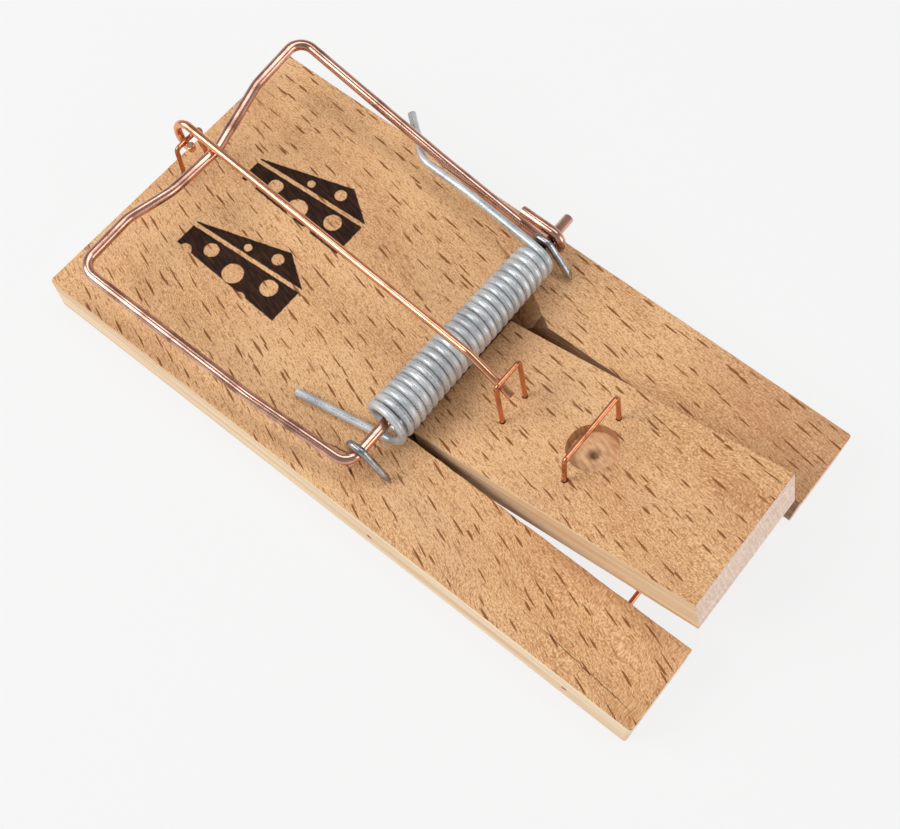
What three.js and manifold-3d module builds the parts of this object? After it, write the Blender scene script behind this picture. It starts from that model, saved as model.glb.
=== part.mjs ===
// Wooden snap mouse trap, shown set. Millimetres, +Z up, underside of the board on z = 0.
// +X runs from the bow's resting end to the pedal's free end, +Y across the board.
import * as THREE from 'three';
import { mergeVertices } from 'three/addons/utils/BufferGeometryUtils.js';
import Module from 'manifold-3d';

const wasm = await Module();
wasm.setup();

// ---- board ----
const boardLength = 98;
const boardWidth = 49;
const boardThick = 6.6;
const boardCorner = 0.4;
const slotLow = -11.7;          // the slot's two long edges, in y
const slotHigh = 12.35;
const slotEnd = 2.6;            // x of the slot's closed end

// ---- pedal, in its own frame: s along it, n up from its hinge pin ----
const hingeX = 8.1;
const pinZ = 2.85;              // both cross wires are drilled at this height
const pedalRise = 15;           // degrees, set position
const pedalWidth = 21;
const pedalLength = 40.8;       // hinge pin to free end
const pedalHeel = 3.4;          // hinge pin to heel
const heelBevelStart = -0.1;
const heelBevelEnd = -1.92;     // height of the bevel at the heel
const baitHoleAt = 18;
const baitHoleY = 0.3;
const baitHoleRadius = 3.48;
const baitHoleDepth = 1.7;
const dimpleRadius = 0.9;
const dimpleDepth = 0.6;

// ---- wire sizes ----
const bowWire = 1.5;
const springWire = 1.2;
const rodWire = 1.06;
const nailWire = 1.04;
const stapleWire = 0.65;
const crossWire = 0.7;
const holeClearance = 0.6;      // added to a wire's diameter for its hole
const wireSides = 8;

// ---- bow, turning on its own axle ----
const axleX = 1.75;
const axleHeight = 3.68;        // above the board's top
const axleEnd = 26;
const bowSlope = 0.0948;        // rise of the bow for each mm away from the axle
const bowTwist = 0.00102;       // extra rise for each mm away and each mm across
const leftArmY = -20.45;
const rightArmY = 21.65;
const crossbarX = -43;
const hookRadius = 1.62;
const tailLength = 5.2;

// ---- torsion spring ----
const coilStart = -13.35;
const coilEnd = 18.4;
const coilTurns = 25.5;
const coilLead = 0.5;           // how far the first turn stands off the next one
const coilSteps = 16;           // steps in a turn
const coilRadiusLow = 2.88;     // centreline radius at the two ends
const coilRadiusHigh = 2.18;
const coilHeightLow = 3.67;
const coilHeightHigh = 3.26;
const coilXLow = 1.8;
const coilXHigh = 1.95;

// ---- hold-down rod ----
const anchorX = -45.85;         // crossbar of the anchor staple, the rod's pivot
const anchorHeight = 6.86;
const rodBendX = 5.8;
const rodTipX = 13.2;
const rodOverBowX = -40;
const rodOverBow = 9.3;         // heights above the board's top
const rodBendHeight = 10.45;
const rodTipSlope = 0.305;
const rodDrift = -0.0675;       // sideways run for each mm along x
const rodYAtBow = 1.72;
const eyeX = -46;
const eyeHeight = 7.43;
const eyeHalfLength = 1.7;
const eyeHalfHeight = 1.75;
const eyeSweep = 280;
const eyeShift = -1.5;          // the eye closes beside the rod, not on it

// ---- stop wire ----
const stopX = 39.4;

const rad = THREE.MathUtils.degToRad;
const top = (height) => boardThick + height;

// ---- materials ----
function material(colour, roughness, metalness) {
  return new THREE.MeshStandardMaterial({ color: colour, roughness, metalness });
}
const beech = material(0xd9b184, 0.7, 0);
const copper = material(0xc98a68, 0.28, 1);
const zinc = material(0xaab0b2, 0.45, 1);
const steel = material(0x8f9296, 0.35, 1);

// ---- solids: joining and cutting ----
function toSolid(geometry) {
  const bare = geometry.clone();
  bare.deleteAttribute('normal');
  bare.deleteAttribute('uv');
  const merged = mergeVertices(bare, 1e-5);
  return new wasm.Manifold(new wasm.Mesh({
    numProp: 3,
    vertProperties: new Float32Array(merged.attributes.position.array),
    triVerts: new Uint32Array(merged.index.array),
  }));
}

function toGeometry(solid) {
  const mesh = solid.getMesh();
  const geometry = new THREE.BufferGeometry();
  geometry.setAttribute('position', new THREE.BufferAttribute(mesh.vertProperties, 3));
  geometry.setIndex(new THREE.BufferAttribute(mesh.triVerts, 1));
  geometry.computeVertexNormals();
  return geometry;
}

function cut(body, tools) {
  let solid = toSolid(body);
  for (const tool of tools) {
    solid = solid.subtract(toSolid(tool));
  }
  return toGeometry(solid);
}

function join(parts) {
  let solid = toSolid(parts[0]);
  for (const part of parts.slice(1)) {
    solid = solid.add(toSolid(part));
  }
  return toGeometry(solid);
}

// a round bar from one point to another, for drill holes and straight wires
function bar(from, to, radius, sides = 16, radiusEnd = radius) {
  const axis = to.clone().sub(from);
  const geometry = new THREE.CylinderGeometry(radiusEnd, radius, axis.length(), sides);
  const turn = new THREE.Quaternion().setFromUnitVectors(
    new THREE.Vector3(0, 1, 0), axis.clone().normalize());
  geometry.applyQuaternion(turn);
  geometry.translate(...from.clone().add(to).multiplyScalar(0.5).toArray());
  return geometry;
}

// ---- bent wire ----
// A wire's centreline is a list of points; each step of the extrusion lands on one of them.
class WirePath extends THREE.Curve {
  constructor(points) {
    super();
    this.points = points;
  }
  getPoint(t) {
    const last = this.points.length - 1;
    const at = Math.min(last, Math.max(0, t * last));
    const index = Math.min(last - 1, Math.floor(at));
    return this.points[index].clone().lerp(this.points[index + 1], at - index);
  }
  getPointAt(t) {
    return this.getPoint(t);
  }
  getTangentAt(t) {
    const last = this.points.length - 1;
    const index = Math.round(t * last);
    const before = this.points[Math.max(0, index - 1)];
    const after = this.points[Math.min(last, index + 1)];
    return after.clone().sub(before).normalize();
  }
}

function circleShape(radius, sides) {
  const shape = new THREE.Shape();
  for (let i = 0; i < sides; i += 1) {
    const angle = (2 * Math.PI * i) / sides;
    const x = radius * Math.cos(angle);
    const y = radius * Math.sin(angle);
    if (i === 0) shape.moveTo(x, y);
    else shape.lineTo(x, y);
  }
  shape.closePath();
  return shape;
}

function wire(points, diameter, sides = wireSides) {
  return new THREE.ExtrudeGeometry(circleShape(diameter / 2, sides), {
    steps: points.length - 1,
    bevelEnabled: false,
    extrudePath: new WirePath(points),
  });
}

// Corner points joined by straight runs, each inner corner rounded to its bend radius.
function bent(corners, radii, stepAngle = 15) {
  const path = [corners[0].clone()];
  for (let i = 1; i < corners.length - 1; i += 1) {
    const back = corners[i - 1].clone().sub(corners[i]).normalize();
    const ahead = corners[i + 1].clone().sub(corners[i]).normalize();
    const half = back.angleTo(ahead) / 2;
    const setBack = radii[i - 1] / Math.tan(half);
    const centre = back.clone().add(ahead).normalize();
    centre.multiplyScalar(radii[i - 1] / Math.sin(half)).add(corners[i]);
    const start = corners[i].clone().addScaledVector(back, setBack).sub(centre);
    const end = corners[i].clone().addScaledVector(ahead, setBack).sub(centre);
    const normal = start.clone().cross(end).normalize();
    const sweep = start.angleTo(end);
    const steps = Math.max(2, Math.ceil(sweep / rad(stepAngle)));
    for (let k = 0; k <= steps; k += 1) {
      path.push(start.clone().applyAxisAngle(normal, (sweep * k) / steps).add(centre));
    }
  }
  path.push(corners[corners.length - 1].clone());
  return path;
}

const point = (x, y, z) => new THREE.Vector3(x, y, z);

// ---- the board ----
function boardOutline() {
  const x = boardLength / 2;
  const y = boardWidth / 2;
  const r = boardCorner;
  const shape = new THREE.Shape();
  shape.moveTo(-x + r, -y);
  shape.lineTo(x - r, -y);
  shape.absarc(x - r, -y + r, r, -Math.PI / 2, 0, false);
  shape.lineTo(x, slotLow);
  shape.lineTo(slotEnd, slotLow);
  shape.lineTo(slotEnd, slotHigh);
  shape.lineTo(x, slotHigh);
  shape.lineTo(x, y - r);
  shape.absarc(x - r, y - r, r, 0, Math.PI / 2, false);
  shape.lineTo(-x + r, y);
  shape.absarc(-x + r, y - r, r, Math.PI / 2, Math.PI, false);
  shape.lineTo(-x, -y + r);
  shape.absarc(-x + r, -y + r, r, Math.PI, 1.5 * Math.PI, false);
  return shape;
}

const crossHoles = [hingeX, stopX].map((x) => bar(
  point(x, -boardWidth, pinZ), point(x, boardWidth, pinZ), (crossWire + holeClearance) / 2, 12));

const anchorLegs = [-0.75, 3.8];
const anchorDepth = 5;          // how deep the anchor staple's legs go
const nails = [
  { name: 'axle_nail_left', x: 0.3, y: -18.45, tipX: 6.6, tipY: -18.1 },
  { name: 'axle_nail_right', x: 0.3, y: 20.15, tipX: 6.9, tipY: 20.05 },
];
const nailHeadRadius = 1.15;
const nailHeadThick = 0.5;
const nailHeadGap = 0.3;

function makeBoard() {
  const slab = new THREE.ExtrudeGeometry(boardOutline(), {
    depth: boardThick, bevelEnabled: false, curveSegments: 3,
  });
  const stapleHoles = anchorLegs.map((y) => bar(
    point(anchorX, y, top(1)), point(anchorX, y, top(-anchorDepth - 0.3)),
    (stapleWire + holeClearance) / 2, 12));
  const nailHoles = nails.map((nail) => bar(
    point(nail.x, nail.y, -1), point(nail.x, nail.y, top(1)), (nailWire + holeClearance) / 2, 12));
  const headPockets = nails.map((nail) => bar(
    point(nail.x, nail.y, -1), point(nail.x, nail.y, nailHeadThick + nailHeadGap),
    nailHeadRadius + nailHeadGap / 2, 16));
  return cut(slab, [...crossHoles, ...stapleHoles, ...nailHoles, ...headPockets]);
}

// ---- the pedal: its side profile, extruded across ----
const pedalFace = boardThick - pinZ;      // n of its top face
const pedalUnder = -pinZ;

const catchLegs = [{ s: 5.8, y: -2.86 }, { s: 5.9, y: 1.85 }];
const catchTop = { s: 6.7, height: 8.58 };
const baitLegs = [{ s: 17.9, y: -5.42 }, { s: 18.27, y: 5.59 }];
const baitTop = { s: 18.8, height: 5.5 };
const stapleDepth = 4.2;

function makePedal() {
  const side = new THREE.Shape();
  side.moveTo(heelBevelStart, pedalUnder);
  side.lineTo(pedalLength, pedalUnder);
  side.lineTo(pedalLength, pedalFace);
  side.lineTo(-pedalHeel, pedalFace);
  side.lineTo(-pedalHeel, heelBevelEnd);
  side.closePath();
  const plank = new THREE.ExtrudeGeometry(side, { depth: pedalWidth, bevelEnabled: false });
  plank.rotateX(Math.PI / 2);
  plank.translate(0, pedalWidth / 2, 0);
  const holeFloor = pedalFace - baitHoleDepth;
  const baitHole = bar(point(baitHoleAt, baitHoleY, holeFloor),
    point(baitHoleAt, baitHoleY, pedalFace + 1), baitHoleRadius, 32);
  const dimple = bar(point(baitHoleAt, baitHoleY, holeFloor - dimpleDepth),
    point(baitHoleAt, baitHoleY, holeFloor + 0.1), 0.05, 12, dimpleRadius);
  const pinHole = bar(point(0, -boardWidth, 0), point(0, boardWidth, 0),
    (crossWire + holeClearance) / 2, 12);
  const legHoles = [[catchLegs, catchTop], [baitLegs, baitTop]].flatMap(([legs, crown]) => (
    legs.map((leg) => legHole(leg, crown))));
  return cut(plank, [baitHole, dimple, pinHole, ...legHoles]);
}

// the slanting line of one staple leg, from its crown down into the pedal
function legLine(leg, crown, depth) {
  const crownPoint = point(crown.s, leg.y, pedalFace + crown.height);
  const surface = point(leg.s, leg.y, pedalFace);
  const along = surface.clone().sub(crownPoint).normalize();
  return { crownPoint, surface, foot: surface.clone().addScaledVector(along, depth), along };
}

function legHole(leg, crown) {
  const line = legLine(leg, crown, stapleDepth);
  const mouth = line.surface.clone().addScaledVector(line.along, -0.8);
  const end = line.foot.clone().addScaledVector(line.along, 0.3);
  return bar(mouth, end, (stapleWire + holeClearance) / 2, 12);
}

function pedalStaple(legs, crown) {
  const [first, second] = legs.map((leg) => legLine(leg, crown, stapleDepth));
  const corners = [first.foot, first.crownPoint, second.crownPoint, second.foot];
  return wire(bent(corners, [0.6, 0.6], 22), stapleWire);
}

// ---- the anchor staple, standing on the board ----
function makeAnchorStaple() {
  const foot = top(-anchorDepth);
  const crown = top(anchorHeight);
  const corners = [
    point(anchorX, anchorLegs[0], foot), point(anchorX, anchorLegs[0], crown),
    point(anchorX, anchorLegs[1], crown), point(anchorX, anchorLegs[1], foot),
  ];
  return wire(bent(corners, [0.6, 0.6], 22), stapleWire);
}

// ---- the bow, one bent wire from the tip of its tail to the far end of its axle ----
function bowHeight(x, y) {
  const away = axleX - x;
  return top(axleHeight + bowSlope * away + bowTwist * away * y);
}
const onBow = (x, y) => point(x, y, bowHeight(x, y));

function makeBow() {
  const axleZ = top(axleHeight);
  const hookSteps = 9;
  const hook = [];
  for (let i = 0; i <= hookSteps; i += 1) {
    const angle = -Math.PI / 2 + (Math.PI * i) / hookSteps;
    const x = axleX + hookRadius * Math.cos(angle);
    const z = axleZ + hookRadius * Math.sin(angle);
    hook.push(point(x, rightArmY + (0.25 * i) / hookSteps, z));
  }
  const frame = bent([
    point(axleX, axleEnd, axleZ),
    point(axleX, leftArmY, axleZ),
    onBow(-14, -21.6),
    onBow(crossbarX, -22.1),
    onBow(crossbarX - 0.1, -13),
    onBow(crossbarX + 1.7, -6),
    onBow(crossbarX + 2.1, 2.4),
    onBow(crossbarX - 0.5, 13.4),
    onBow(crossbarX - 0.85, 22.9),
    point(-17, 21.8, top(5)),
    point(axleX - 1.2, rightArmY, axleZ - hookRadius),
  ], [2, 30, 2.3, 5, 12, 3, 4, 2.3, 30]);
  const tail = point(axleX - tailLength, rightArmY + 0.35, axleZ + hookRadius - 0.05);
  return wire([...frame, ...hook, tail], bowWire);
}

// ---- the torsion spring: a close coil with an arm at each end ----
function makeSpring() {
  const path = [point(-11.1, -16.14, top(0.79)), point(0.1, -14.15, top(0.79))];
  const count = coilTurns * coilSteps;
  for (let i = 0; i <= count; i += 1) {
    const part = i / count;
    const angle = (2 * Math.PI * i) / coilSteps;
    const radius = THREE.MathUtils.lerp(coilRadiusLow, coilRadiusHigh, part);
    const x = THREE.MathUtils.lerp(coilXLow, coilXHigh, part) + radius * Math.sin(angle);
    const opening = coilLead * Math.max(0, 1 - i / coilSteps) ** 2;
    const y = THREE.MathUtils.lerp(coilStart, coilEnd, part) - opening;
    const z = THREE.MathUtils.lerp(coilHeightLow, coilHeightHigh, part) - radius * Math.cos(angle);
    path.push(point(x, y, top(z)));
  }
  const arm = bent([
    point(0.4, 18.62, top(5.41)), point(-10.9, 19.95, top(4.6)), point(-19.6, 20.55, top(4)),
    point(-25.9, 25.7, top(3.75)),
  ], [30, 3.5]);
  return wire([...path, ...arm], springWire, 7);
}

// ---- the hold-down rod, closed into an eye round the anchor staple ----
function makeRod() {
  const lineY = (x) => rodYAtBow + rodDrift * (x - rodOverBowX);
  const tipHeight = rodBendHeight - rodTipSlope * (rodTipX - rodBendX);
  const shank = bent([
    point(rodTipX, lineY(rodTipX), top(tipHeight)),
    point(rodBendX, lineY(rodBendX), top(rodBendHeight)),
    point(rodOverBowX, lineY(rodOverBowX), top(rodOverBow)),
  ], [4]);
  const eye = [];
  const eyeSteps = 24;
  for (let i = 0; i <= eyeSteps; i += 1) {
    const angle = rad(90 + (eyeSweep * i) / eyeSteps);
    const x = eyeX + eyeHalfLength * Math.cos(angle);
    const z = eyeHeight + eyeHalfHeight * Math.sin(angle);
    eye.push(point(x, lineY(eyeX) + (eyeShift * i) / eyeSteps, top(z)));
  }
  return wire([...shank, ...eye], rodWire);
}

// ---- the clinched nails that hold the axle down ----
function makeNail(nail) {
  const headTop = 0.1 + nailHeadThick;
  const crown = top(5.16);
  const shoulderX = 2.45;
  const end = point(nail.tipX - 0.95, nail.tipY, top(1.48));
  const shank = wire(bent([
    point(nail.x, nail.y, headTop - 0.2), point(nail.x, nail.y, crown),
    point(shoulderX, nail.y, crown), end,
  ], [1, 0.9]), nailWire, 10);
  const tipPoint = point(nail.tipX, nail.tipY, top(0.3));
  const back = end.clone().sub(tipPoint).normalize().multiplyScalar(0.15).add(end);
  const tip = bar(back, tipPoint, nailWire / 2, 10, 0.06);
  const head = bar(point(nail.x, nail.y, 0.1), point(nail.x, nail.y, headTop), nailHeadRadius, 16);
  return join([shank, tip, head]);
}

// ---- straight cross wires ----
function crossPin(x) {
  const reach = boardWidth / 2 - 0.1;
  return wire([point(x, -reach, pinZ), point(x, 0, pinZ), point(x, reach, pinZ)], crossWire, 10);
}

// ---- assembly ----
const group = new THREE.Group();

function addPiece(parent, name, geometry, surface) {
  const mesh = new THREE.Mesh(geometry, surface);
  mesh.name = name;
  parent.add(mesh);
}

addPiece(group, 'board', makeBoard(), beech);
addPiece(group, 'anchor_staple', makeAnchorStaple(), copper);
for (const nail of nails) {
  addPiece(group, nail.name, makeNail(nail), steel);
}
addPiece(group, 'hinge_pin', crossPin(hingeX), copper);
addPiece(group, 'stop_wire', crossPin(stopX), copper);
addPiece(group, 'torsion_spring', makeSpring(), zinc);
addPiece(group, 'striker_bow', makeBow(), copper);
addPiece(group, 'hold_rod', makeRod(), copper);

const pedalGroup = new THREE.Group();
pedalGroup.position.set(hingeX, 0, pinZ);
pedalGroup.rotation.y = rad(-pedalRise);
addPiece(pedalGroup, 'pedal_board', makePedal(), beech);
addPiece(pedalGroup, 'catch_staple', pedalStaple(catchLegs, catchTop), copper);
addPiece(pedalGroup, 'bait_staple', pedalStaple(baitLegs, baitTop), copper);
group.add(pedalGroup);

export default group;
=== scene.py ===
import math
import random

import bmesh
import bpy
from mathutils import Matrix, Vector


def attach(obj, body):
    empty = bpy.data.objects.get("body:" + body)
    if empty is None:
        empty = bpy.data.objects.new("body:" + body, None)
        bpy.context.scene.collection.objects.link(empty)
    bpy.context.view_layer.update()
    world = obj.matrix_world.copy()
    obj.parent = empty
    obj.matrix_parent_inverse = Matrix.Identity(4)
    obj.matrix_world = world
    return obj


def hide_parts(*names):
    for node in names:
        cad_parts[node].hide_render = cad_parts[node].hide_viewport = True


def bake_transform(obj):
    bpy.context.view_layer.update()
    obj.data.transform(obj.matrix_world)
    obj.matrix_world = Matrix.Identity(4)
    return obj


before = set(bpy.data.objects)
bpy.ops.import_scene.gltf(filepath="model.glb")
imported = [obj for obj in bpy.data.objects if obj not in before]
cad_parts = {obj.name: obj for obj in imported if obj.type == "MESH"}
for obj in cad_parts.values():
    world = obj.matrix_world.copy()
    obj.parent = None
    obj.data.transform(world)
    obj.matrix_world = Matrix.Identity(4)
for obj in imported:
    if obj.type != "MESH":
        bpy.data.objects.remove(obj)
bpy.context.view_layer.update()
mm = 0.001

# sizes shared by several pieces, in millimetres
boardSize = {
    "length": 98.0,
    "width": 49.0,
    "thick": 6.6,
    "slotLow": -11.7,  # the slot's two long edges, in y
    "slotHigh": 12.35,
    "slotEnd": 2.6,
    "corner": 0.45,  # rounding of the four outer corners
    "sawSeed": 5,
}
pedalShape = {
    "width": 21.0,
    "length": 40.8,
    "heel": 3.4,
    "bevelStart": -0.1,
    "bevelEnd": -1.92,
    "holeAt": 18.0,
    "holeY": 0.3,
    "holeRadius": 3.48,
    "holeDepth": 1.7,
}
pedalPlace = {"hingeX": 8.1, "hingeZ": 2.85, "rise": 15.0, "stopX": 39.4}
axlePlace = {"x": 1.75, "height": 3.68, "end": 25.95}
boardTop = boardSize["thick"]
pedalPivot = (pedalPlace["hingeX"], 0.0, pedalPlace["hingeZ"])


def placed(name, data):
    made = bpy.data.objects.new(name, data)
    bpy.context.scene.collection.objects.link(made)
    return made


def solid(name, shape):
    # a finished bmesh as an object
    mesh = bpy.data.meshes.new(name)
    shape.to_mesh(mesh)
    shape.free()
    return placed(name, mesh)


# node helpers
def operator(how, swapped=False):
    def apply(self, other):
        return self.maths(how, *((other, self) if swapped else (self, other)))
    return apply


class Signal:
    def __init__(self, bench, socket):
        self.bench = bench
        self.socket = socket

    def maths(self, operation, *values):
        return self.bench.node("ShaderNodeMath", {"operation": operation}, dict(enumerate(values)))

    __add__, __radd__ = operator("ADD"), operator("ADD", True)
    __sub__, __rsub__ = operator("SUBTRACT"), operator("SUBTRACT", True)
    __mul__, __rmul__ = operator("MULTIPLY"), operator("MULTIPLY", True)
    __truediv__, __rtruediv__ = operator("DIVIDE"), operator("DIVIDE", True)
    __pow__, __rpow__ = operator("POWER"), operator("POWER", True)
    atLeast = operator("MAXIMUM")

    def __abs__(self):
        return self.maths("ABSOLUTE", self)

    def sine(self):
        return self.maths("SINE", self)

    def cosine(self):
        return self.maths("COSINE", self)

    def wrapped(self, low, high):
        return self.maths("WRAP", self, high, low)

    def fade(self, low, high):
        return self.bench.node("ShaderNodeMapRange", {"interpolation_type": "SMOOTHSTEP"},
                               {"Value": self, "From Min": low, "From Max": high})

    def part(self, index):
        return self.bench.node("ShaderNodeSeparateXYZ", {}, {0: self}, output=index)


class Bench:
    def __init__(self, tree):
        self.tree = tree

    def node(self, kind, settings=None, values=None, output=0):
        made = self.tree.nodes.new(kind)
        for key, value in (settings or {}).items():
            if key == "stops":
                self.setStops(made.color_ramp, value)
            else:
                setattr(made, key, value)
        for key, value in (values or {}).items():
            if isinstance(value, Signal):
                self.tree.links.new(value.socket, made.inputs[key])
            else:
                made.inputs[key].default_value = value
        return Signal(self, made.outputs[output] if len(made.outputs) else None)

    def setStops(self, ramp, stops):
        while len(ramp.elements) < len(stops):
            ramp.elements.new(1.0)
        for element, (position, colour) in zip(ramp.elements, stops):
            element.position = position
            element.color = (*colour, 1.0)

    def vector(self, x, y, z=0.0):
        return self.node("ShaderNodeCombineXYZ", {}, {0: x, 1: y, 2: z})


class Finish(Bench):
    def __init__(self, name, tilt=0.0, pivot=(0, 0, 0)):
        self.material = bpy.data.materials.new(name)
        self.material.use_nodes = True
        super().__init__(self.material.node_tree)
        self.tree.nodes.clear()
        # object coordinates in millimetres, turned back by tilt about Y
        spot = self.node("ShaderNodeTexCoord", {}, {}, output=3)
        moved = self.node("ShaderNodeVectorMath", {"operation": "MULTIPLY_ADD"},
                          {0: spot, 1: (1000, 1000, 1000), 2: tuple(-p for p in pivot)})
        self.spot = self.node("ShaderNodeMapping", {},
                              {"Vector": moved, "Rotation": (0, math.radians(tilt), 0)})
        self.x, self.y, self.z = (self.spot.part(i) for i in range(3))

    def noise(self, vector, scale, detail=3.0, rough=0.55, warp=0.0):
        return self.node("ShaderNodeTexNoise", {}, {
            "Vector": vector, "Scale": scale, "Detail": detail, "Roughness": rough, "Distortion": warp})

    def grain(self, x, y, detail=3.0, rough=0.55):
        # noise over a plane whose two places are already scaled
        return self.noise(self.vector(x, y), 1.0, detail, rough)

    def blend(self, factor, first, second, how="MIX"):
        return self.node("ShaderNodeMix", {"data_type": "RGBA", "blend_type": how, "clamp_factor": True}, {
            0: factor, 6: self.opaque(first), 7: self.opaque(second)}, output=2)

    def opaque(self, colour):
        return colour if isinstance(colour, Signal) else (*colour, 1.0)

    def finish(self, colour, roughness, bump=None, metallic=0.0, height=0.05, strength=0.6, **others):
        values = {"Base Color": self.opaque(colour), "Roughness": roughness, "Metallic": metallic}
        values.update(others)
        if bump is not None:
            values["Normal"] = self.node("ShaderNodeBump", {}, {
                "Strength": strength, "Distance": height * mm, "Height": bump})
        surface = self.node("ShaderNodeBsdfPrincipled", {}, values)
        self.node("ShaderNodeOutputMaterial", {}, {"Surface": surface})
        return self.material


def srgb(red, green, blue):
    def linear(value):
        value /= 255.0
        return value / 12.92 if value <= 0.04045 else ((value + 0.055) / 1.055) ** 2.4
    return tuple(linear(v) for v in (red, green, blue))


# beech
beechLook = {
    "grainAngle": 14.5,  # degrees from the board's length, at its middle line
    "grainTurn": 0.0063,  # radians more for each millimetre towards the near edge
    "pale": srgb(242, 198, 149),
    "warm": srgb(197, 142, 96),
    "fleck": srgb(138, 80, 38),
    "speck": srgb(164, 104, 56),
    # pink: a random pink tone in the wood, also used for a painted shade on the right rail
    "pinkAndShade": srgb(196, 150, 122),
    "burnt": srgb(30, 12, 6),
    "burntLight": srgb(86, 50, 28),
}
fleckSizes = {
    # cell length and width, shortest and longest half length, thinnest and widest half width, share, edge
    "large": (4.1, 2.2, 0.85, 1.85, 0.10, 0.20, 0.97, 0.05),
    "medium": (1.9, 0.85, 0.30, 0.68, 0.055, 0.115, 0.78, 0.04),
    "small": (0.80, 0.40, 0.14, 0.28, 0.045, 0.085, 0.88, 0.04),
}


def fleckLayer(finish, along, across, turn, size, seed):
    cellLong, cellWide, shortest, longest, thinnest, widest, share, edge = fleckSizes[size]
    cellSpot = finish.vector(along / cellLong + seed, across / cellWide - seed)
    settings = {"voronoi_dimensions": "2D", "feature": "F1"}
    values = {"Vector": cellSpot, "Scale": 1.0, "Randomness": 1.0}
    cells = finish.node("ShaderNodeTexVoronoi", settings, values)
    centre = Signal(finish, cells.socket.node.outputs["Position"])
    chance = Signal(finish, cells.socket.node.outputs["Color"])
    offLong = (cellSpot.part(0) - centre.part(0)) * cellLong
    offWide = (cellSpot.part(1) - centre.part(1)) * cellWide
    lengthwise = offLong - turn * offWide
    crosswise = offWide + turn * offLong
    halfLength = chance.part(0) * (longest - shortest) + shortest
    halfWidth = chance.part(1) * (widest - thinnest) + thinnest
    ratio = lengthwise / halfLength
    spindle = halfWidth * (1.0 - ratio * ratio)
    mark = (spindle - abs(crosswise)).fade(-edge * 0.5, edge)
    return mark * chance.part(2).fade(1.0 - share, 1.0 - share + 0.25)


def beechFace(name, tilt=0.0, pivot=(0, 0, 0), seed=0.0, withMark=False):
    finish = Finish(name, tilt, pivot)
    x, y = finish.x, finish.y
    angle = math.radians(beechLook["grainAngle"])
    wave = finish.grain(x * 0.05 + seed, y * 0.05, 2.0)
    along = x * math.cos(angle) - y * math.sin(angle)
    across = x * math.sin(angle) + y * math.cos(angle)
    turn = y * -beechLook["grainTurn"] + (wave - 0.5) * 0.35
    bend = finish.grain(along * 0.35, across * 0.9, 2.0) * 0.30
    wavy = across + bend
    large = fleckLayer(finish, along, wavy, turn, "large", seed + 3.7)
    medium = fleckLayer(finish, along, wavy, turn, "medium", seed + 11.2)
    small = fleckLayer(finish, along, wavy, turn, "small", seed + 23.9)
    cloud = finish.grain(along * 0.045 + seed, across * 0.11, 4.0)
    streak = finish.grain(along * 0.10, across * 0.75 + seed, 4.0)
    leaning = across + along * turn
    fibre = finish.grain(along * 1.0, leaning * 4.6, 2.5, 0.6)
    pebble = finish.grain(along * 3.2, leaning * 7.0 + seed, 1.0, 0.5)
    tone = (cloud - 0.5) * 1.2 + (streak - 0.5) * 0.6 + (fibre - 0.5) * 1.7 + (pebble - 0.5) * 2.2 + 0.42
    # the tone darkens towards the +X end
    tone = tone + x.fade(22.0, 46.0) * 0.16
    colour = finish.blend(tone.fade(-0.05, 1.05), beechLook["pale"], beechLook["warm"])
    # random pink tone; the next line adds a pink painted shade over the right rail's far part, where the
    # pedal's shadow falls
    pinkToneAndShade = finish.grain(x * 0.03 + seed + 5.0, y * 0.06, 2.0).fade(0.5, 0.85)
    pinkToneAndShade = pinkToneAndShade.atLeast(x.fade(18.0, 60.0) * y.fade(4.0, 26.0))
    colour = finish.blend(pinkToneAndShade * 0.45, colour, beechLook["pinkAndShade"])
    colour = finish.blend(small * 0.55, colour, beechLook["speck"])
    colour = finish.blend(medium * 0.70, colour, beechLook["speck"])
    colour = finish.blend(large * 0.92, colour, beechLook["fleck"])
    relief = fibre * -0.5 - pebble * 0.9 - small * 0.4 - medium * 0.6 - large * 1.1
    rough = fibre * 0.12 + 0.62
    if withMark:
        mark = burnedWedges(finish, x, y)
        char = finish.grain(along * 0.5, across * 3.0, 4.0)
        char = char.fade(0.35, 0.75) * 0.55 + large * 0.25
        burnt = finish.blend(char, beechLook["burnt"], beechLook["burntLight"])
        colour = finish.blend(mark, colour, burnt)
        split = cracks(finish, x, y)
        colour = finish.blend(split * 0.85, colour, beechLook["burntLight"])
        relief = relief - mark * 1.2 - split * 2.5
    return finish.finish(colour, rough, relief, height=0.05, strength=0.6, **{"Specular IOR Level": 0.2})


def offLine(x, y, start, end):
    # signed distance from the line between two points
    (ax, ay), (bx, by) = start, end
    length = math.dist(start, end)
    nx, ny = (ay - by) / length, (bx - ax) / length
    return x * nx + y * ny - (ax * nx + ay * ny)


# the burned mark: two plain cheese wedges side by side
wedgeMark = {
    "middleX": -30.3,
    "lowY": -12.1,
    "spacing": 13.3,
    "outline": [(-9.3, 0.5), (4.4, 4.9), (9.3, 1.5), (9.3, -4.7), (-9.3, -3.7)],
    "rindLine": [(-9.3, 0.0), (9.3, 1.1)],
    "holes": [(-4.6, -1.7, 1.05), (0.2, -2.6, 1.5), (5.6, -1.2, 1.25), (3.4, -5.0, 0.95), (-7.6, -3.9, 0.9),
              (3.6, 2.9, 0.85), (-0.9, 1.75, 0.55)],
}


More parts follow.
